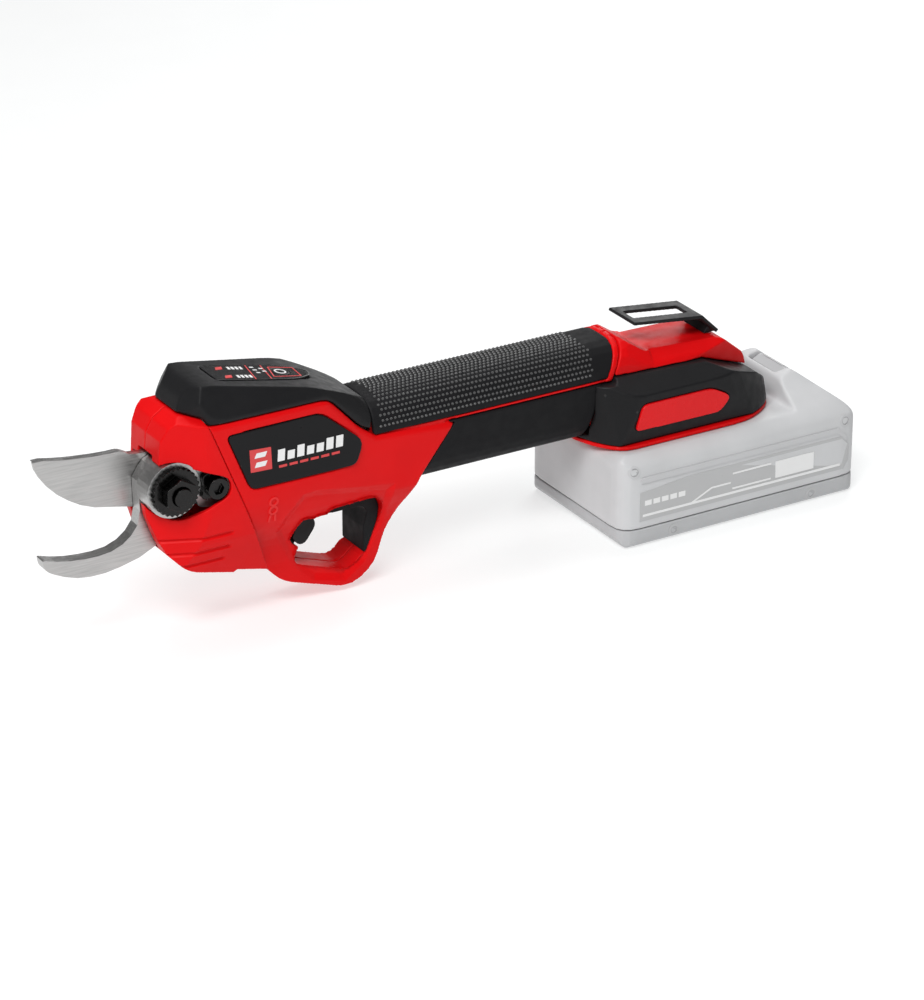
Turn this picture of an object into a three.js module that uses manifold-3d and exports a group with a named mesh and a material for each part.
// Battery electric pruner with a slide-on battery pack, in millimetres, +Z up.
// Working datum: the blade pivot axis runs along Y through X = 0, Z = 0; the blades point
// to -X and the battery is at +X. The exported group moves that datum so that the origin
// is the middle of the footprint, on the surface that the tool stands on.
import * as THREE from 'three';
import { mergeVertices } from 'three/addons/utils/BufferGeometryUtils.js';
import Module from 'manifold-3d';

const wasm = await Module();
wasm.setup();

// ---- driving dimensions -----------------------------------------------------------------
const GAP = 0.3;                 // clearance between touching pieces
const WALL = 2.2;                // moulded wall
const TIP_X = -56;               // foremost point of both blades
const BATTERY_REAR = 331;
const BATTERY_FRONT = 204;
const BATTERY_HALF = 38.5;
const BASE_Z = -69;              // surface that the tool stands on
const DECK_Z = -26;              // top deck of the battery, under the tool's foot

const BODY_HALF = 20.5;
const HANDLE_HALF = 17.8;
const HANDLE_TOP = 18.7;
const HANDLE_BOTTOM = -23.8;
const HANDLE_ROUND = 15;         // reach of the handle's rounded corners
const CORE_ROUND = 12;
const GRIP = 2.6;                // thickness of the soft grip over the core
const GUARD_HALF = 9.5;
const GRIP_FRONT = 93;
const GRIP_REAR = 208;
const SEAM_TOP = [13.3, 29.4];   // line between nose covers and body
const SEAM_BOTTOM = [44.8, -48.6];

const HOOK_Y = [-5.5, 0.5];
const BLADE_Y = [0.8, 4.4];
const BOLT_R = 4;
const NUT_AF = 13;
const TOOTH_COUNT = 36;          // teeth of the full crown that the sector is cut from
const PINION_TEETH = 9;
const PINION_OUT = 25.2;         // outer end of the mesh, measured from the pivot axis
const PINION_IN = 19.6;
const PITCH = PINION_OUT * PINION_TEETH / TOOTH_COUNT;

const MOTOR_R = 13;
const GEARBOX_R = 14.6;
const SECTOR_Y = [PITCH + 1.6, 10.4]; // gear sector plate
const SECTOR_HUB_R = 11.4;
const MOTOR_FRONT = 66.8;
const SHAFT_CLEAR_R = 3.3;       // bore around the pinion shaft
const BEARING_R = 7.6;
const CELL_R = 10.6;
const CELL_LENGTH = 70;
const CELL_Z = -50;
const CELL_PITCH = 21.8;
const CELL_MIDDLE_X = 269.5;
const SPLIT_Z = -60.5;           // joint between the two battery cases
const CASE_GAP = 0.1;            // clearance between the two battery cases, which are screwed together
const CONTACT_Y = 7;

const SEAM_Z = [2.9, 4.1];       // red line left between the upper and lower grips
// rear edge of the soft grip and of the red collar behind it: X at the seam and at the top
const COLLAR = [[208.6, 216.4], [211.6, 219.6]];
const TAIL_CORE_BOTTOM = -11.6;
const FOOT_HALF = 30.5;
const CLIP_HALF = 10.3;
const LABEL_DEPTH = 1.2;
const TRIGGER_TRAVEL = 1.6;
const TRIGGER_HALF = 9.5;
const STEM_HALF = 6;
const STEM_Z = [-46.2, -30.8];
const SPRING_Z = -37.8;
const PAD_HALF = 9.3;
const PAD_RISE = 2.8;            // how far the pad stands into the finger opening
const SCREWS = [[50, 21.5], [54.5, -50.5], [80, -21.4], [126, -15.4], [108, -21], [88, -61]];
const SCREW_R = 1.6;
const SCREW_HEAD_R = 3;
const SCREW_HEAD_Y = 6.2;
const SCREW_BOSS_R = 3.4;
const PIN_R = 1.5;
const PINS = [[8.2, 3.6], [-3, -8.6]];
const LOCK_SCREW = [17.5, -1];
const LOCK_HOLE_R = 2.2;
const BUTTON_R = 4;
const BUTTON = [58.4, 0];

// ---- colours ----------------------------------------------------------------------------
const FINISH = {
  red: { color: 0xd8141a, roughness: 0.42, metalness: 0 },
  black: { color: 0x1d1d1f, roughness: 0.7, metalness: 0 },
  soft: { color: 0x242426, roughness: 0.85, metalness: 0 },
  steel: { color: 0xb9bcc0, roughness: 0.3, metalness: 1 },
  dark: { color: 0x2c2c2e, roughness: 0.45, metalness: 0.8 },
  alloy: { color: 0x8d9095, roughness: 0.55, metalness: 0.9 },
  grey: { color: 0xc9cbcd, roughness: 0.6, metalness: 0 },
  bumper: { color: 0x8f9194, roughness: 0.75, metalness: 0 },
  board: { color: 0x1d5a34, roughness: 0.6, metalness: 0 },
  copper: { color: 0xb8763a, roughness: 0.4, metalness: 1 },
  cell: { color: 0x4b6f93, roughness: 0.5, metalness: 0.2 },
};

// ---- solids -----------------------------------------------------------------------------
function solid(geometry) {
  const bare = new THREE.BufferGeometry();
  bare.setAttribute('position', geometry.getAttribute('position').clone());
  if (geometry.index) bare.setIndex(geometry.index.clone());
  const merged = mergeVertices(bare, 1e-4);
  return new wasm.Manifold(new wasm.Mesh({
    numProp: 3,
    vertProperties: new Float32Array(merged.getAttribute('position').array),
    triVerts: new Uint32Array(merged.index.array),
  }));
}

// A closed outline whose corners are rounded by `radius`, or by a corner's own third value.
function outline(points, radius = 0, steps = 3) {
  const count = points.length;
  const path = [];
  points.forEach((corner, i) => {
    const [x, y] = corner;
    const before = points[(i + count - 1) % count];
    const after = points[(i + 1) % count];
    const toBefore = new THREE.Vector2(before[0] - x, before[1] - y);
    const toAfter = new THREE.Vector2(after[0] - x, after[1] - y);
    const reach = Math.min(corner[2] ?? radius, toBefore.length() * 0.49, toAfter.length() * 0.49);
    if (reach < 0.05) {
      path.push(new THREE.Vector2(x, y));
      return;
    }
    const here = new THREE.Vector2(x, y);
    const start = here.clone().add(toBefore.setLength(reach));
    const end = here.clone().add(toAfter.setLength(reach));
    const curve = new THREE.QuadraticBezierCurve(start, here, end);
    path.push(...curve.getPoints(steps));
  });
  return path;
}

// The same outline moved inwards by `distance`, for the inside of a wall.
function inset(points, distance) {
  const count = points.length;
  const area = THREE.ShapeUtils.area(points.map(([x, y]) => new THREE.Vector2(x, y)));
  const side = area > 0 ? 1 : -1;
  const normal = (a, b) => {
    const length = Math.hypot(b[0] - a[0], b[1] - a[1]);
    return [-(b[1] - a[1]) / length * side, (b[0] - a[0]) / length * side];
  };
  return points.map((p, i) => {
    const n1 = normal(points[(i + count - 1) % count], p);
    const n2 = normal(p, points[(i + 1) % count]);
    const scale = distance / (1 + n1[0] * n2[0] + n1[1] * n2[1]);
    const moved = [p[0] + (n1[0] + n2[0]) * scale, p[1] + (n1[1] + n2[1]) * scale];
    return p.length > 2 ? [...moved, Math.max(0, p[2] - distance)] : moved;
  });
}

function extrude(path, depth) {
  return new THREE.ExtrudeGeometry(new THREE.Shape(path), { depth, bevelEnabled: false });
}

// Outlines seen from the side (X, Z), from above (X, Y) and from the front (Y, Z).
function sidePrism(path, y0, y1) {
  return solid(extrude(path, y1 - y0).rotateX(Math.PI / 2).translate(0, y1, 0));
}

function planPrism(path, z0, z1) {
  return solid(extrude(path, z1 - z0).translate(0, 0, z0));
}

function frontPrism(path, x0, x1) {
  const turn = new THREE.Matrix4().makeBasis(
    new THREE.Vector3(0, 1, 0), new THREE.Vector3(0, 0, 1), new THREE.Vector3(1, 0, 0));
  return solid(extrude(path, x1 - x0).applyMatrix4(turn).translate(x0, 0, 0));
}

function box(x0, x1, y0, y1, z0, z1) {
  const geometry = new THREE.BoxGeometry(x1 - x0, y1 - y0, z1 - z0);
  return solid(geometry.translate((x0 + x1) / 2, (y0 + y1) / 2, (z0 + z1) / 2));
}

function ring(radius, count, turn = 0) {
  return Array.from({ length: count }, (_, i) => {
    const angle = turn + i * 2 * Math.PI / count;
    return new THREE.Vector2(radius * Math.cos(angle), radius * Math.sin(angle));
  });
}

function moved(path, x, y) {
  return path.map((p) => new THREE.Vector2(p.x + x, p.y + y));
}

// Round bars along Y, along X and along Z.
const barY = (r, y0, y1, x = 0, z = 0, n = 20) => sidePrism(moved(ring(r, n), x, z), y0, y1);
const barX = (r, x0, x1, y = 0, z = 0, n = 20) => frontPrism(moved(ring(r, n), y, z), x0, x1);
const barZ = (r, z0, z1, x = 0, y = 0, n = 12) => planPrism(moved(ring(r, n), x, y), z0, z1);

// Outlines that are given for one side and repeated on the other, in plan and seen from the front.
function mirrored(points) {
  return [...points, ...points.map(([x, y, ...rest]) => [x, -y, ...rest]).reverse()];
}

function mirroredFront(points) {
  return [...points, ...points.map(([y, z, ...rest]) => [-y, z, ...rest]).reverse()];
}

const group = new THREE.Group();
group.position.set(-(TIP_X + BATTERY_REAR) / 2, 0, -BASE_Z);

function add(name, finish, shape) {
  const mesh = shape.getMesh();
  const geometry = new THREE.BufferGeometry();
  geometry.setAttribute('position', new THREE.BufferAttribute(mesh.vertProperties, 3));
  geometry.setIndex(new THREE.BufferAttribute(mesh.triVerts, 1));
  geometry.computeVertexNormals();
  const part = new THREE.Mesh(geometry, new THREE.MeshStandardMaterial(FINISH[finish]));
  part.name = name;
  group.add(part);
}

// Left half is on -Y and right half on +Y, each short of the middle by half a gap.
const FAR = 400;
const leftHalf = box(-FAR, FAR, -FAR, -GAP / 2, -FAR, FAR);
const rightHalf = box(-FAR, FAR, GAP / 2, FAR, -FAR, FAR);

// ---- housing ----------------------------------------------------------------------------
function seamX(z) {
  const slope = (SEAM_BOTTOM[0] - SEAM_TOP[0]) / (SEAM_BOTTOM[1] - SEAM_TOP[1]);
  return SEAM_TOP[0] + (z - SEAM_TOP[1]) * slope;
}

const BODY_TOP = 26.7;
const bodySide = [
  [seamX(BODY_TOP), BODY_TOP], [70, BODY_TOP, 4], [86, 9.6, 4], [94, 4.05], [120, 3.6],
  [132.5, 1.4], [116.6, -18.6, 3], [111.5, -27.2, 5], [102.6, -44.1], [97, -60.8, 7],
  [84.5, -67.6, 6], [52.3, -57, 5], [seamX(-48.6), -48.6],
];
const bodyPlan = mirrored([
  [10, BODY_HALF], [74, BODY_HALF, 8], [98, HANDLE_HALF, 8], [140, HANDLE_HALF],
]);
const bodyFront = [
  [BODY_HALF, 30], [BODY_HALF, -12, 8], [17.5, -25, 6], [11, -36, 6], [GUARD_HALF, -48],
  [GUARD_HALF, -70], [-GUARD_HALF, -70], [-GUARD_HALF, -48], [-11, -36, 6], [-17.5, -25, 6],
  [-BODY_HALF, -12, 8], [-BODY_HALF, 30],
];
const fingerHole = [
  [65.6, -27.9, 2.5], [93.6, -28.4, 5], [97, -34, 4], [91.4, -54, 6], [84.6, -59.6, 5],
  [59.4, -50.8, 3], [58.6, -47.4, 2],
];
const coreFront = [
  [HANDLE_HALF - GRIP, HANDLE_TOP - GRIP, CORE_ROUND],
  [HANDLE_HALF - GRIP, HANDLE_BOTTOM + GRIP, CORE_ROUND],
];
const triggerSide = [
  [61.7, -27.7, 2], [67.4, -30, 2.6], [69.3, -34.2, 2.6], [63.8, -41.8, 2.4], [60.4, -41.9, 2],
  [57.6, -37.9, 1],
];
const padOutside = [
  [71.6, -25.7, 3], [94.4, -24.4, 5], [100, -30.6, 4], [99.6, -38, 4], [93.6, -52.4, 1],
  [90.6, -54.6], [84, -40], [71.6, -40],
];
const labelSide = [[22.2, 21.1, 3], [66, 21.7, 4], [86.3, 5, 4], [82.8, -5.4, 3], [32.8, -5.2, 3]];
const labelPocket = inset(labelSide, -GAP);
const handleSection = mirroredFront([
  [HANDLE_HALF, HANDLE_TOP, HANDLE_ROUND], [HANDLE_HALF, HANDLE_BOTTOM, 13],
]);
const handleCore = frontPrism(outline(mirroredFront(coreFront), 0), GRIP_FRONT - GAP, GRIP_REAR + 2)
  .add(box(GRIP_FRONT, GRIP_REAR + 2, -HANDLE_HALF + 0.5, HANDLE_HALF - 0.5, ...SEAM_Z));

// the part of the housing that runs on under the tail cover, `grow` larger for the room around it
function tailCore(grow) {
  const side = [
    [209, 13.4], [218, 13.4], [230, 7.6, 3], [266, 6.6, 5], [280, -4, 6], [289, -40], [209, -40],
  ];
  const plan = mirrored([[190, 13.5], [256, 13.5], [290, 7]]);
  const front = mirroredFront([[8.8, 14], [13.5, 4.6], [13.5, -40]]);
  return sidePrism(outline(inset(side, -grow)), -15, 15)
    .intersect(frontPrism(outline(inset(front, -grow)), 200, 300))
    .intersect(planPrism(outline(inset(plan, -grow)), -60, 30))
    .subtract(box(200, 300, -20, 20, -60, TAIL_CORE_BOTTOM - 20 * grow));
}

// red ring at the rear of the grip
function rearCollar() {
  const [gripEdge, coverEdge] = COLLAR;
  const side = [
    [gripEdge[0] + GAP, SEAM_Z[0]], [gripEdge[1] + GAP, HANDLE_TOP + 1],
    [coverEdge[1], HANDLE_TOP + 1], [coverEdge[0], SEAM_Z[0]],
  ];
  return frontPrism(outline(handleSection, 0, 5), 200, 230).intersect(sidePrism(outline(side), -20, 20));
}

// everything hollow inside the housing: nose and body, then the handle, then the tail
function housingRoom() {
  const bodySection = [
    [18.2, 30], [18.2, -11], [15.4, -23.6], [8.6, -35.6], [7.2, -48],
    [-7.2, -48], [-8.6, -35.6], [-15.4, -23.6], [-18.2, -11], [-18.2, 30],
  ];
  const bodyRoom = sidePrism(outline([
    [8, BODY_TOP - WALL], [69, BODY_TOP - WALL], [86, 5.4], [100, 1], [120, 1], [120, -20.5],
    [109, -21.2], [64, -22.4], [57, -30], [54, -46], [46, -46.4], [seamX(-46), -46],
    [seamX(-46) - 8, -46],
  ]), -BODY_HALF, BODY_HALF).intersect(frontPrism(outline(bodySection), 0, 86));
  const handleRoom = frontPrism(
    outline(mirroredFront([[13.4, 14.2, 10], [13.4, -19.2, 10]])), 84, GRIP_REAR + 1);
  const tailRoom = sidePrism(outline([
    [205, 11.4], [217, 11.2], [229.6, 5.4], [265, 4.4, 4], [277, -5, 4], [279, -14], [205, -14],
  ]), -11.4, 11.4)
    .intersect(frontPrism(outline(mirroredFront([[7.4, 12], [11.4, 3.4], [11.4, -15]])), 200, 300));
  return bodyRoom.add(handleRoom).add(tailRoom);
}

// openings for the trigger and for the stem behind it, over the whole travel
function triggerWay() {
  const slot = inset(triggerSide, -GAP);
  let way = box(46, 76, -STEM_HALF - GAP, STEM_HALF + GAP, STEM_Z[0] - GAP, STEM_Z[1] + GAP);
  for (const push of [0, -TRIGGER_TRAVEL / 2, -TRIGGER_TRAVEL]) {
    const pushed = slot.map(([x, z, ...rest]) => [x + push, z, ...rest]);
    way = way.add(sidePrism(outline(pushed), -BODY_HALF - 2, BODY_HALF + 2));
  }
  return way;
}

function housing() {
  const body = sidePrism(outline(bodySide), -BODY_HALF - 1, BODY_HALF + 1)
    .intersect(planPrism(outline(bodyPlan), -70, 30))
    .intersect(frontPrism(outline(bodyFront), 0, 140));
  const outer = body.add(handleCore).add(rearCollar()).add(tailCore(0));
  let shell = outer.subtract(housingRoom());
  for (const [x, z] of SCREWS) {
    shell = shell.add(barY(SCREW_BOSS_R, -12, 12, x, z, 12));
  }
  shell = shell.intersect(outer)
    .subtract(sidePrism(outline(fingerHole), -BODY_HALF - 1, BODY_HALF + 1))
    .subtract(sidePrism(outline(padOutside), -BODY_HALF - 1, BODY_HALF + 1));
  const pocketFloor = BODY_HALF - LABEL_DEPTH - GAP;
  shell = shell.subtract(sidePrism(outline(labelPocket), pocketFloor, BODY_HALF + 2))
    .subtract(sidePrism(outline(labelPocket), -BODY_HALF - 2, -pocketFloor));
  for (const [x, z] of SCREWS) {
    shell = shell.subtract(barY(SCREW_R + GAP, -7.8, 30, x, z, 12))
      .subtract(barY(SCREW_HEAD_R + GAP, SCREW_HEAD_Y, 30, x, z, 12));
  }
  return shell.subtract(triggerWay())
    .subtract(box(24, 64, -6, 6, 20, 40))
    .subtract(barX(MOTOR_R + GAP, 60, GRIP_FRONT + 2));
}

const housingShell = housing();
add('housing_left', 'red', housingShell.intersect(leftHalf));
add('housing_right', 'red', housingShell.intersect(rightHalf));
SCREWS.forEach(([x, z], i) => {
  const head = barY(SCREW_HEAD_R, SCREW_HEAD_Y + GAP, SCREW_HEAD_Y + 2.6, x, z, 12);
  add(`housing_screw_${i + 1}`, 'dark', head.add(barY(SCREW_R, -7.4, SCREW_HEAD_Y + 1, x, z, 8)));
});

// ---- label plates -----------------------------------------------------------------------
for (const [name, side] of [['left', -1], ['right', 1]]) {
  const faces = [side * (BODY_HALF - LABEL_DEPTH), side * (BODY_HALF + 0.3)];
  const plate = sidePrism(outline(labelSide), Math.min(...faces), Math.max(...faces));
  add(`label_plate_${name}`, 'black', plate);
}

// ---- nose covers ------------------------------------------------------------------------
const noseSide = [
  [seamX(29.7) - GAP, 29.7], [4.4, 31.5, 2], [-1.6, 27.6, 1], [-4.7, 21.8], [-5.9, 7], [-11.5, -5],
  [-10.4, -12], [-6.5, -22.8], [-3.6, -29], [3.1, -36.2, 3], [8.2, -39.4, 3], [27.2, -44.6],
  [29, -43.6], [seamX(-47.6) - GAP, -47.6],
];
const NOSE_HALF = 20.8;
const nosePlan = mirrored([[-17, 6.6], [-11.5, 9.6], [-4.4, 13.2, 1], [13, NOSE_HALF, 3], [60, NOSE_HALF]]);
const noseFront = [
  [9, 32.4], [NOSE_HALF, 27.2, 1], [NOSE_HALF, -13, 2], [19.2, -26], [13.2, -46, 2], [12.4, -50],
];
const BOSS_R = 12.2;
const BOSS_Y = -15;
const pivotWindow = [
  [-24, 7], [-5.9, 7, 1], [-2.9, 7.3], [0.8, 8.9, 1], [7, 9.2, 2], [18.5, 4.6, 2], [22.8, 2.2, 2],
  [23.8, -2.2, 2], [22.4, -5.6, 2], [9.5, -11.3], [3.6, -13.4, 3], [-1.4, -13.4, 3], [-9.3, -8.6, 2],
  [-12, -5], [-24, -4],
];

// what lies within `depth` of the nose's outer surface is outside this solid
function noseBody(depth) {
  const side = inset(noseSide, depth);
  if (depth > 1) {
    side[0] = [40, side[0][1]];
    side[side.length - 1] = [60, side[side.length - 1][1]];
  }
  const front = mirroredFront(noseFront);
  return sidePrism(outline(side), -22, 22)
    .intersect(planPrism(outline(inset(nosePlan, depth)), -60, 40))
    .intersect(frontPrism(outline(depth ? inset(front, depth) : front), -20, 60));
}

function noseShell() {
  const slot = box(-30, 14, -6.4, 5.8, -29.5, 13.8);
  return noseBody(0).subtract(noseBody(WALL)).subtract(slot)
    .subtract(sidePrism(outline(pivotWindow), -40, 40).subtract(box(-40, 60, -6.4, 6, -40, 40)))
    .subtract(barY(BOSS_R + GAP, -18, 0, 0, 0, 28))
    .subtract(barY(SECTOR_HUB_R + GAP, 0, SECTOR_Y[1] + GAP, 0, 0, 28));
}

const nose = noseShell();
add('nose_cover_left', 'red', nose.intersect(leftHalf));
add('nose_cover_right', 'red', nose.intersect(rightHalf));

// ---- display cover, panel, button and board ---------------------------------------------
const coverTop = (x) => 43.7 - 0.206 * (x - 13.6);
const COVER_HALF = 20.3;
const COVER_REAR = 92.4;
const coverSide = [
  [4.6, 32.2], [7.4, 38.6, 2], [12, coverTop(12) - 0.8, 2], [18, coverTop(18), 2],
  [66, coverTop(66), 10], [80, 26.4, 8], [COVER_REAR, 19.6, 3], [COVER_REAR, 7.4], [86.2, 10.4, 3],
  [70.2, 27.1, 4], [seamX(27.1), 27.1, 1], [12.8, 30.4, 1],
];
const coverPlan = mirrored([
  [2.6, 6.5], [8, 14, 2], [14.6, 19.6, 3], [22, COVER_HALF], [74, COVER_HALF, 8],
  [93, HANDLE_HALF, 4],
]);
const coverFront = [[13.6, 45.4, 3], [COVER_HALF, 29], [COVER_HALF, 6]];

// the slanted facet on each front top corner: inward normal and its distance from the origin
function coverCorner(side) {
  const normal = new THREE.Vector3(0.76, -0.48 * side, -0.44).normalize();
  return [normal.toArray(), normal.dot(new THREE.Vector3(10.6, 14 * side, 38))];
}

// the cover's section, which runs over into the handle's section at its rear end
function coverSection() {
  const square = outline(mirroredFront(coverFront));
  const rear = frontPrism(square, 68, 69)
    .add(frontPrism(outline(handleSection, 0, 6), COVER_REAR, COVER_REAR + 1)).hull();
  return frontPrism(square, 0, 69).add(rear);
}

function displayCover() {
  const roomSide = [[9, 20], [13, 39.6], [65, coverTop(65) - WALL], [78, 24], [80, 10], [30, 10]];
  const room = sidePrism(outline(roomSide), -22, 22)
    .intersect(planPrism(outline(mirrored([[10, 11], [18, 17.4], [66, 17.4], [80, 9]])), 0, 50))
    .intersect(frontPrism(outline(mirroredFront([[11.4, 42.4], [17.4, 28], [17.4, 6]])), 10, 82));
  return sidePrism(outline(coverSide), -22, 22)
    .intersect(planPrism(outline(coverPlan), 0, 50))
    .intersect(coverSection())
    .trimByPlane(...coverCorner(-1))
    .trimByPlane(...coverCorner(1))
    .subtract(room)
    .subtract(panelSlab(-1.6 - GAP, 3, -GAP))
    .subtract(buttonHole)
    .subtract(barX(MOTOR_R + 2, 60, 96));
}

// a slab parallel to the sloping top, between two heights above it
function panelSlab(low, high, shrink) {
  const side = [[23, coverTop(23) + low], [73, coverTop(73) + low], [73, coverTop(73) + high],
    [23, coverTop(23) + high]];
  const plan = inset(mirrored([[24.5, 8.6, 3], [62, 8.6, 5], [71.6, 3.2, 3]]), shrink);
  return sidePrism(outline(side), -12, 12).intersect(planPrism(outline(plan), 0, 60));
}

const buttonHole = barZ(BUTTON_R + GAP, 20, 60, ...BUTTON, 16);
add('display_cover', 'soft', displayCover());
add('display_panel', 'black', panelSlab(-1.6, 0.1, 0).subtract(buttonHole));
const buttonTop = sidePrism(outline([
  [50, 30], [66, 30], [66, coverTop(66) + 0.3], [50, coverTop(50) + 0.3],
]), -9, 9);
add('power_button', 'black', barZ(BUTTON_R, 31.4, 46, ...BUTTON, 16).intersect(buttonTop));
add('display_board', 'board', box(26, 62, -11, 11, 27, 28.6));
add('button_switch', 'dark', box(55.4, 61.4, -3, 3, 28.9, 30));

// ---- grips ------------------------------------------------------------------------------
const handleRound = frontPrism(outline(handleSection, 0, 6), 80, 240);
const coreRound = frontPrism(outline(inset(mirroredFront(coreFront), -GAP)), 70, 250);
const handleShell = handleRound.subtract(coreRound);
const bodyClear = sidePrism(outline(inset(bodySide, -GAP)), -30, 30);
const gripTopSide = [
  [GRIP_FRONT, 30], [COLLAR[0][1] + 5, 30], [COLLAR[0][1], HANDLE_TOP + 1],
  [COLLAR[0][0] + 0.7, SEAM_Z[1] + GAP], [GRIP_FRONT, SEAM_Z[1] + GAP],
];
const gripLowerSide = [[100, 2.4], [206.4, 2.4], [206.4, 0.6], [196.6, -28], [100, -28]];
add('grip_top', 'soft', handleShell
  .intersect(sidePrism(outline(gripTopSide), -30, 30))
  .subtract(bodyClear));
const lowerGrip = handleShell
  .intersect(sidePrism(outline(gripLowerSide), -30, 30))
  .subtract(bodyClear);
add('grip_lower_left', 'black', lowerGrip.intersect(leftHalf));
add('grip_lower_right', 'black', lowerGrip.intersect(rightHalf));

const pad = sidePrism(outline(inset(padOutside, GAP)), -PAD_HALF, PAD_HALF)
  .subtract(sidePrism(outline(inset(fingerHole, PAD_RISE)), -20, 20))
  .subtract(box(60, 92, -20, 20, -60, -28.6 - PAD_RISE - 0.6));
add('guard_pad', 'soft', pad);

// ---- tail cover, foot and its windows ---------------------------------------------------
function tailCover() {
  const side = [
    [COLLAR[1][0] + 1 + GAP, 4.8, 2], [COLLAR[1][1] + GAP, HANDLE_TOP - 0.4],
    [220.8, HANDLE_TOP - 0.6, 1], [231.6, 10.8, 2], [271, 9.4, 3], [284, -1.2, 2], [286, -7.4],
    [259, 3.4],
  ];
  const plan = mirrored([[205, HANDLE_HALF], [258, HANDLE_HALF, 10], [287, 11.6]]);
  const front = mirroredFront([
    [6, HANDLE_TOP], [11, 11], [HANDLE_HALF - 1.2, 6.2, 2], [HANDLE_HALF, 4], [HANDLE_HALF, -8],
  ]);
  const crest = frontPrism(outline(handleSection, 0, 6), 205, 221)
    .add(frontPrism(outline(front), 233, 234)).hull();
  const outer = sidePrism(outline(side), -20, 20)
    .intersect(planPrism(outline(plan), -20, 30))
    .intersect(frontPrism(outline(front), 232, 300).add(crest));
  return outer.subtract(tailCore(GAP));
}
add('tail_cover', 'red', tailCover());

const footPlan = mirrored([
  [198.6, 8, 2], [202, 18.6, 5], [210, FOOT_HALF, 6], [277, FOOT_HALF, 10], [292, 21, 8],
  [298, 10, 3],
]);
const footPlanTop = mirrored([
  [199.4, 8, 2], [203, 18.6, 4], [218.6, FOOT_HALF - 1.4, 6], [266, FOOT_HALF - 1.4, 10],
  [288, 17, 8], [294, 9, 3],
]);
const windowSide = [[216.4, -17.6, 2], [220, -6, 3], [256, -6, 3], [266.5, -11.6, 4], [260, -18, 3]];

// pockets for the two windows, `grow` larger than the window and `depth` deep
function windowCut(grow, depth) {
  const path = outline(inset(windowSide, -grow));
  return sidePrism(path, FOOT_HALF - depth, FOOT_HALF + 4)
    .add(sidePrism(path, -FOOT_HALF - 4, -FOOT_HALF + depth));
}

// room in the foot for the rear end of the handle and its lower grip
function handleBay() {
  const half = HANDLE_HALF - GRIP + GAP;
  const core = mirroredFront([
    [HANDLE_HALF - 0.2, 10], [HANDLE_HALF - 0.2, 2], [half, 2], [half, HANDLE_BOTTOM + GRIP - GAP],
  ]);
  const gripSide = [[190, 2.7], [206.7, 2.7], [206.7, 0.6], [198.7, -28], [190, -28]];
  return frontPrism(outline(core), 190, 212)
    .add(handleRound.intersect(sidePrism(outline(gripSide), -30, 30)))
    .add(box(200, COLLAR[1][0] + 1, -20, 20, SEAM_Z[0] - GAP, 20));
}

function footShell() {
  const side = [
    [198.8, 2.2], [211.6, 2.2], [212.2, 4.4], [258.6, 3], [285, -7.6], [292.4, -13, 3],
    [298.6, -21], [298.6, -23.8], [198.4, -23.8],
  ];
  const front = mirroredFront([[15, 6], [18, 4.6], [FOOT_HALF, -2.6, 1], [28.4, -25]]);
  const drafted = planPrism(outline(footPlan), -26, -23)
    .add(planPrism(outline(footPlanTop), 4, 6)).hull();
  const roomSide = [[206, -30], [206, -4.6], [262, -5.4], [280, -9.6], [289, -15.5], [295.6, -30]];
  const roomPlan = mirrored([[207, 9], [220, 25.6], [262, 25.6], [284, 15.6], [290, 9]]);
  const room = sidePrism(outline(roomSide), -27, 27)
    .intersect(planPrism(outline(roomPlan), -40, 20))
    .add(box(279, 310, -12.2, 12.2, -30, -11.8));
  return sidePrism(outline(side), -40, 40)
    .intersect(drafted)
    .intersect(frontPrism(outline(front), 190, 300))
    .subtract(room)
    .subtract(handleBay())
    .subtract(tailCore(GAP))
    .subtract(windowCut(GAP, 2));
}
const foot = footShell();
add('foot_left', 'black', foot.intersect(leftHalf));
add('foot_right', 'black', foot.intersect(rightHalf));
for (const [name, side] of [['left', -1], ['right', 1]]) {
  const faces = [side * (FOOT_HALF - 0.2), side * (FOOT_HALF - 1.7)];
  add(`foot_window_${name}`, 'red', sidePrism(outline(windowSide), Math.min(...faces), Math.max(...faces)));
}
const trimInside = mirrored([
  [208, 12, 3], [216, 26, 5], [275, 26, 6], [288, 18], [293, 12.2], [310, 12.2],
]);
add('foot_trim', 'red', planPrism(outline(footPlan), DECK_Z + GAP, -24.1)
  .subtract(planPrism(outline(trimInside), -40, 0)));

// ---- belt clip --------------------------------------------------------------------------
const clipSide = [[227.4, 22.6], [262.8, 18.2], [270.8, 10.2], [272, 11.4], [263.4, 19.8], [227.6, 24]];
const clipPlate = sidePrism(outline(clipSide), -CLIP_HALF, CLIP_HALF)
  .subtract(box(231, 259, -4.4, 4.4, 10, 40));
const clipFoot = sidePrism(outline([[265.6, 10], [270.6, 9.9], [271.2, 11.2], [268, 13.6]]), -8, 8);
add('belt_clip', 'dark', clipPlate.add(clipFoot));

// ---- drive: motor, gearbox, bearing, pinion, frame --------------------------------------
add('motor', 'alloy', barX(MOTOR_R, MOTOR_FRONT, 116)
  .add(barX(9, 115, 120))
  .subtract(barX(2, MOTOR_FRONT - 1, MOTOR_FRONT + 7)));
add('gearbox', 'alloy', barX(GEARBOX_R, 40.4, MOTOR_FRONT - 0.6).subtract(barX(SHAFT_CLEAR_R, 30, 62)));
add('pinion_bearing', 'steel', barX(BEARING_R, 31, 38).subtract(barX(SHAFT_CLEAR_R, 20, 50)));

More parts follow.
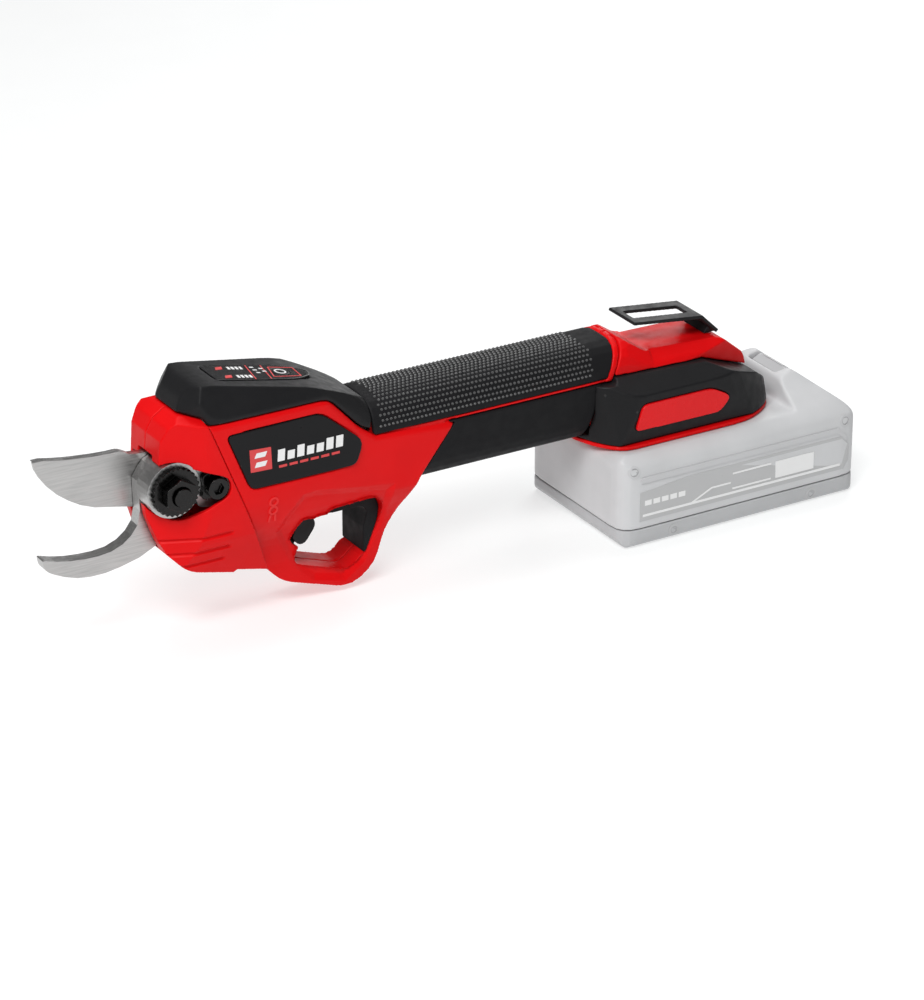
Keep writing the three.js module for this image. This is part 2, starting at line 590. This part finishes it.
function pinion() {
  const outerRadius = PITCH + 1.05;
  const rootRadius = PITCH - 1.35;
  const path = [];
  for (let i = 0; i < PINION_TEETH; i += 1) {
    const middle = Math.PI * 2 * i / PINION_TEETH;
    for (const [radius, half] of [[rootRadius, 0.26], [outerRadius, 0.085]]) {
      path.push([radius, middle - half]);
    }
    path.push([outerRadius, middle + 0.085], [rootRadius, middle + 0.26]);
  }
  const scale = PINION_IN / PINION_OUT;
  const corners = path.map(([radius, angle]) => (
    new THREE.Vector2(radius * Math.cos(angle), radius * Math.sin(angle))));
  const teeth = solid(taper(corners, PINION_IN, PINION_OUT, scale));
  return teeth.add(barX(SHAFT_CLEAR_R - GAP, PINION_OUT - 1, 61.4, 0, 0, 16))
    .add(barX(4.6, PINION_OUT - 0.4, 28.6, 0, 0, 16));
}

// A prism along X whose section at x0 is `scale` times the one at x1.
function taper(section, x0, x1, scale) {
  const corners = THREE.ShapeUtils.area(section) > 0 ? section : [...section].reverse();
  const positions = [];
  const count = corners.length;
  const near = (i) => [x0, corners[i % count].x * scale, corners[i % count].y * scale];
  const far = (i) => [x1, corners[i % count].x, corners[i % count].y];
  for (let i = 0; i < count; i += 1) {
    positions.push(...near(i), ...far(i), ...far(i + 1), ...near(i), ...far(i + 1), ...near(i + 1));
    positions.push(x0, 0, 0, ...near(i), ...near(i + 1), x1, 0, 0, ...far(i + 1), ...far(i));
  }
  for (let i = 0; i < positions.length; i += 9) {
    const second = positions.slice(i + 3, i + 6);
    positions.splice(i + 3, 6, ...positions.slice(i + 6, i + 9), ...second);
  }
  const geometry = new THREE.BufferGeometry();
  geometry.setAttribute('position', new THREE.Float32BufferAttribute(positions, 3));
  return geometry;
}
add('drive_pinion', 'steel', pinion());

const FRAME_Y = [-14.6, -8.4];
const frameWall = sidePrism(outline([[10.6, 9.6, 3], [30, 13], [39.8, 13], [39.8, -13], [30, -13],
  [10.6, -10.4, 3]]), ...FRAME_Y).subtract(barY(BOSS_R + GAP, -30, 30, 0, 0, 28));
const frameBack = box(30.2, 39.8, -14.6, 14.6, -13, 13).subtract(barX(BEARING_R + GAP, 20, 60));
const frameWeb = box(26, 31, ...FRAME_Y, -13, 13);
add('drive_frame', 'alloy', frameWall.add(frameBack).add(frameWeb)
  .subtract(barY(LOCK_HOLE_R, -20, -5, ...LOCK_SCREW, 12)));

// ---- blades and pivot -------------------------------------------------------------------
const bladeSide = [
  [-55.6, 19.2], [-51.6, 19.2], [-47.3, 18.3], [-41, 17.2], [-35.7, 16.6], [-28, 15.8],
  [-21.2, 15.4], [-16.2, 15.5, 2], [-11.7, 13], [-6, 12.4], [0, 12.8, 4], [9.4, 9.4, 5],
  [13.2, 0, 5], [9.4, -9.4, 5], [0, -13.2, 4], [-8, -11.4, 2], [-18, -9.2], [-28.5, -7],
  [-35, -4.4], [-40.5, -1], [-45.4, 2.8], [-49.6, 7.2], [-53, 12], [-55, 16],
];
const bladeEdge = [
  [-60, 26], [-54, 17.6], [-50.8, 12.2], [-47, 7.4], [-42.6, 3.6], [-37.6, 0.6], [-32, -2],
  [-26, -3.8], [-17.6, -5.4], [-17.6, -30], [-70, -30],
];
// bores for the bolt and for the two pins that lock the gear sector to the blade
const pivotBores = PINS.reduce(
  (bores, [x, z]) => bores.add(barY(PIN_R + GAP, -10, 20, x, z, 12)), barY(BOLT_R + GAP, -10, 20));

// ground bevel: the plate loses half of its thickness towards the cutting edge, on its outer side
function cuttingBlade() {
  const plate = sidePrism(outline(bladeSide), ...BLADE_Y);
  const bevel = sidePrism(outline(bladeEdge), BLADE_Y[0] + 1.3, BLADE_Y[1] + 1);
  return plate.subtract(bevel).subtract(pivotBores);
}
add('cutting_blade', 'steel', cuttingBlade());

function gearSector() {
  const start = -0.16;
  const end = 1.02;
  const radius = 26;
  const steps = 14;
  const fanPath = [new THREE.Vector2(-6, 6), new THREE.Vector2(6, 8)];
  for (let i = 0; i <= steps; i += 1) {
    const angle = start + (end - start) * i / steps;
    fanPath.push(new THREE.Vector2(radius * Math.cos(angle), -radius * Math.sin(angle)));
  }
  fanPath.push(new THREE.Vector2(-4, -9));
  const fan = sidePrism(fanPath, ...SECTOR_Y);
  let sector = fan.add(barY(SECTOR_HUB_R, BLADE_Y[1] + GAP, SECTOR_Y[1], 0, 0, 24));
  const step = 2 * Math.PI / TOOTH_COUNT;
  for (let i = -1; i < 6; i += 1) {
    const rib = [
      new THREE.Vector2(PITCH - 0.9, 0.62), new THREE.Vector2(SECTOR_Y[0] + 0.6, 1.15),
      new THREE.Vector2(SECTOR_Y[0] + 0.6, -1.15), new THREE.Vector2(PITCH - 0.9, -0.62),
    ];
    const tooth = taper(rib, PINION_IN, PINION_OUT, PINION_IN / PINION_OUT)
      .rotateY(step * (i + 0.5));
    sector = sector.add(solid(tooth).intersect(barY(PINION_OUT, 0, SECTOR_Y[0] + 0.3, 0, 0, 36))
      .add(toothRoot(step * (i + 0.5))));
  }
  return sector.subtract(pivotBores);
}

// joins a tooth's inner end, which lies lower than its outer end, to the sector plate
function toothRoot(angle) {
  const rib = new THREE.BoxGeometry(PINION_OUT - PINION_IN - 0.4, 2.6, 1.3)
    .translate((PINION_OUT + PINION_IN) / 2, SECTOR_Y[0] - 1, 0).rotateY(angle);
  return solid(rib);
}
add('gear_sector', 'steel', gearSector());
PINS.forEach(([x, z], i) => {
  add(`sector_pin_${i + 1}`, 'steel', barY(PIN_R, BLADE_Y[0] + 0.2, SECTOR_Y[1], x, z, 10));
});

const hookSide = [
  [TIP_X, -21.9, 1], [-55.2, -26.4, 1.5], [-52.6, -28.6, 2], [-46.5, -31.6], [-40.6, -33.6],
  [-34.8, -34.4], [-28, -34.4], [-21.4, -33.4], [-12.1, -31.2], [-3.2, -27], [8, -19, 4],
  [12, -6, 4], [12, 6, 4], [6, 11.6, 5], [-6, 11.6, 5], [-11.6, 3], [-11.2, -10.2],
  [-12.6, -16.4], [-15.6, -20.4], [-19.6, -23.4], [-25, -25.4], [-31.1, -26], [-37.4, -25.8],
  [-43.8, -25.1], [-50, -23.8],
];
function hookBlade() {
  const plate = sidePrism(outline(hookSide), ...HOOK_Y);
  const boss = barY(BOSS_R, BOSS_Y, -5, 0, 0, 32);
  return plate.add(boss).subtract(barY(BOLT_R + GAP, -30, 20));
}
add('hook_blade', 'steel', hookBlade());

const hexagon = ring(NUT_AF / Math.sqrt(3), 6, Math.PI / 6);
add('pivot_bolt', 'dark', barY(BOLT_R, -23.8, 11, 0, 0, 20).add(sidePrism(hexagon, 10.8, 15.6)));
add('pivot_nut', 'dark', sidePrism(hexagon, -22.2, -17.8).subtract(barY(BOLT_R + GAP, -30, 0)));
const LOCK_TEETH = 28;
const lockEdge = Array.from({ length: LOCK_TEETH * 2 }, (_, i) => {
  const radius = i % 2 ? 10 : 10.9;
  const angle = i * Math.PI / LOCK_TEETH;
  return new THREE.Vector2(radius * Math.cos(angle), radius * Math.sin(angle));
});
const lockPlateSide = [
  [12.2, 5, 2], [17.5, 5.8, 3], [23, 3.4, 3], [23, -4.6, 3], [17.5, -7.2, 3], [11.4, -6, 2],
];
add('lock_disc', 'dark', sidePrism(lockEdge, -17.5, -15.3).subtract(barY(BOLT_R + GAP, -30, 0)));
add('lock_plate', 'dark', sidePrism(outline(lockPlateSide), -17.3, -14.9)
  .subtract(barY(BOSS_R + GAP, -30, 0, 0, 0, 28))
  .subtract(barY(LOCK_HOLE_R, -30, 0, ...LOCK_SCREW, 12)));
add('lock_screw', 'dark', barY(4.7, -21, -17.6, ...LOCK_SCREW)
  .add(barY(LOCK_HOLE_R - GAP, -18, -9, ...LOCK_SCREW, 12))
  .subtract(sidePrism(moved(ring(2.6, 6), ...LOCK_SCREW), -22, -19)));

// ---- trigger ----------------------------------------------------------------------------
const SWITCH_REAR = 46.4;
const STEM_FRONT = 50.4;
const springCoil = barX(2.4, SWITCH_REAR + 0.4, STEM_FRONT - GAP, 0, SPRING_Z, 12);
add('trigger', 'black', sidePrism(outline(triggerSide), -TRIGGER_HALF, TRIGGER_HALF)
  .add(box(STEM_FRONT, 60.4, -STEM_HALF, STEM_HALF, ...STEM_Z)));
add('trigger_spring', 'steel', springCoil.subtract(barX(1.6, 40, 60, 0, SPRING_Z, 12)));
add('trigger_switch', 'dark', box(39.4, SWITCH_REAR, -4, 4, -41.4, -31.4));

// ---- electronics in the handle ----------------------------------------------------------
add('control_board', 'board', box(134, 200, -11.4, 11.4, -2.4, -0.8));
add('heat_sink', 'alloy', box(138, 190, -11.4, 11.4, -7.2, -2.7));
add('tool_terminals', 'black', box(216, 232, -11, 11, -19.4, -8.6)
  .subtract(box(226, 240, -9, -5, -17.4, -10.6)).subtract(box(226, 240, 5, 9, -17.4, -10.6)));
[-CONTACT_Y, CONTACT_Y].forEach((y, i) => {
  add(`contact_blade_${i + 1}`, 'copper', box(226.4, 240, y - 0.5, y + 0.5, -16.6, -11.4));
});

// ---- battery ----------------------------------------------------------------------------
const batteryPlan = mirrored([[BATTERY_FRONT, BATTERY_HALF, 9], [BATTERY_REAR, BATTERY_HALF, 10]]);

// raised block on the deck that carries the contacts into the foot
function contactBlock() {
  const side = [
    [222, DECK_Z - 2], [222, -12.4, 2], [282, -12.4], [286, -18], [294, -22], [294, DECK_Z - 2],
  ];
  return sidePrism(outline(side), -11.6, 11.6)
    .subtract(box(220, 234, -16, 16, -21, -10));
}

function batteryUpper() {
  const side = [
    [BATTERY_FRONT, SPLIT_Z + CASE_GAP], [BATTERY_FRONT, DECK_Z - 3, 3], [BATTERY_FRONT + 4, DECK_Z, 2],
    [299.4, DECK_Z], [301, -15.6, 2], [309, -14, 2], [326, -27.4, 3], [BATTERY_REAR, -36, 4],
    [BATTERY_REAR, SPLIT_Z + CASE_GAP],
  ];
  const front = mirroredFront([
    [14, -13], [22, -20, 3], [34, -26.4, 3], [BATTERY_HALF, -31, 3], [BATTERY_HALF, -70],
  ]);
  const roomSide = [
    [BATTERY_FRONT + WALL, -80], [BATTERY_FRONT + WALL, -33], [297, -33], [300, -38],
    [BATTERY_REAR - WALL, -38], [BATTERY_REAR - WALL, -80],
  ];
  const latchBay = [[303, -10], [303, -24.6], [321, -33.4], [333, -33.4], [333, -10]];
  const room = sidePrism(outline(roomSide), -BATTERY_HALF + WALL, BATTERY_HALF - WALL)
    .intersect(planPrism(outline(inset(batteryPlan, WALL)), -80, 0))
    .add(box(244, 284, -9, 9, -34, -20));
  let shell = sidePrism(outline(side), -40, 40)
    .intersect(planPrism(outline(batteryPlan, 0, 4), -80, 0))
    .intersect(frontPrism(outline(front), 200, 340))
    .add(contactBlock())
    .subtract(room)
    .subtract(sidePrism(outline(latchBay), -11, 11));
  for (const y of [-CONTACT_Y, CONTACT_Y]) {
    shell = shell.subtract(box(221, 243, y - 1.4, y + 1.4, -18.4, -9));
  }
  return shell;
}

function batteryLower() {
  const side = [
    [BATTERY_FRONT, -50], [BATTERY_FRONT, BASE_Z + 4.5, 1], [BATTERY_FRONT + 3.4, BASE_Z, 2],
    [BATTERY_REAR, BASE_Z, 6], [BATTERY_REAR, -50],
  ];
  const front = mirroredFront([[BATTERY_HALF, -50], [BATTERY_HALF, BASE_Z, 4]]);
  return planPrism(outline(batteryPlan, 0, 4), BASE_Z, SPLIT_Z)
    .intersect(frontPrism(outline(front), 200, 340))
    .intersect(sidePrism(outline(side), -40, 40))
    .subtract(planPrism(outline(inset(batteryPlan, WALL)), BASE_Z + WALL, 0));
}
add('battery_case_upper', 'grey', batteryUpper());
add('battery_case_lower', 'bumper', batteryLower());

for (let i = 0; i < 5; i += 1) {
  const x = CELL_MIDDLE_X + (i - 2) * CELL_PITCH;
  add(`battery_cell_${i + 1}`, 'cell', barY(CELL_R, -CELL_LENGTH / 2, CELL_LENGTH / 2, x, CELL_Z, 14));
}
add('battery_board', 'board', box(232, 284, -13, 13, -36, -34.4));
add('latch_button', 'bumper', sidePrism(outline([
  [305, -17.4], [309.4, -15, 1], [326, -27.6, 1], [329.8, -30.4], [321.4, -30.4], [305, -21.8],
]), -10.4, 10.4));

export default group;
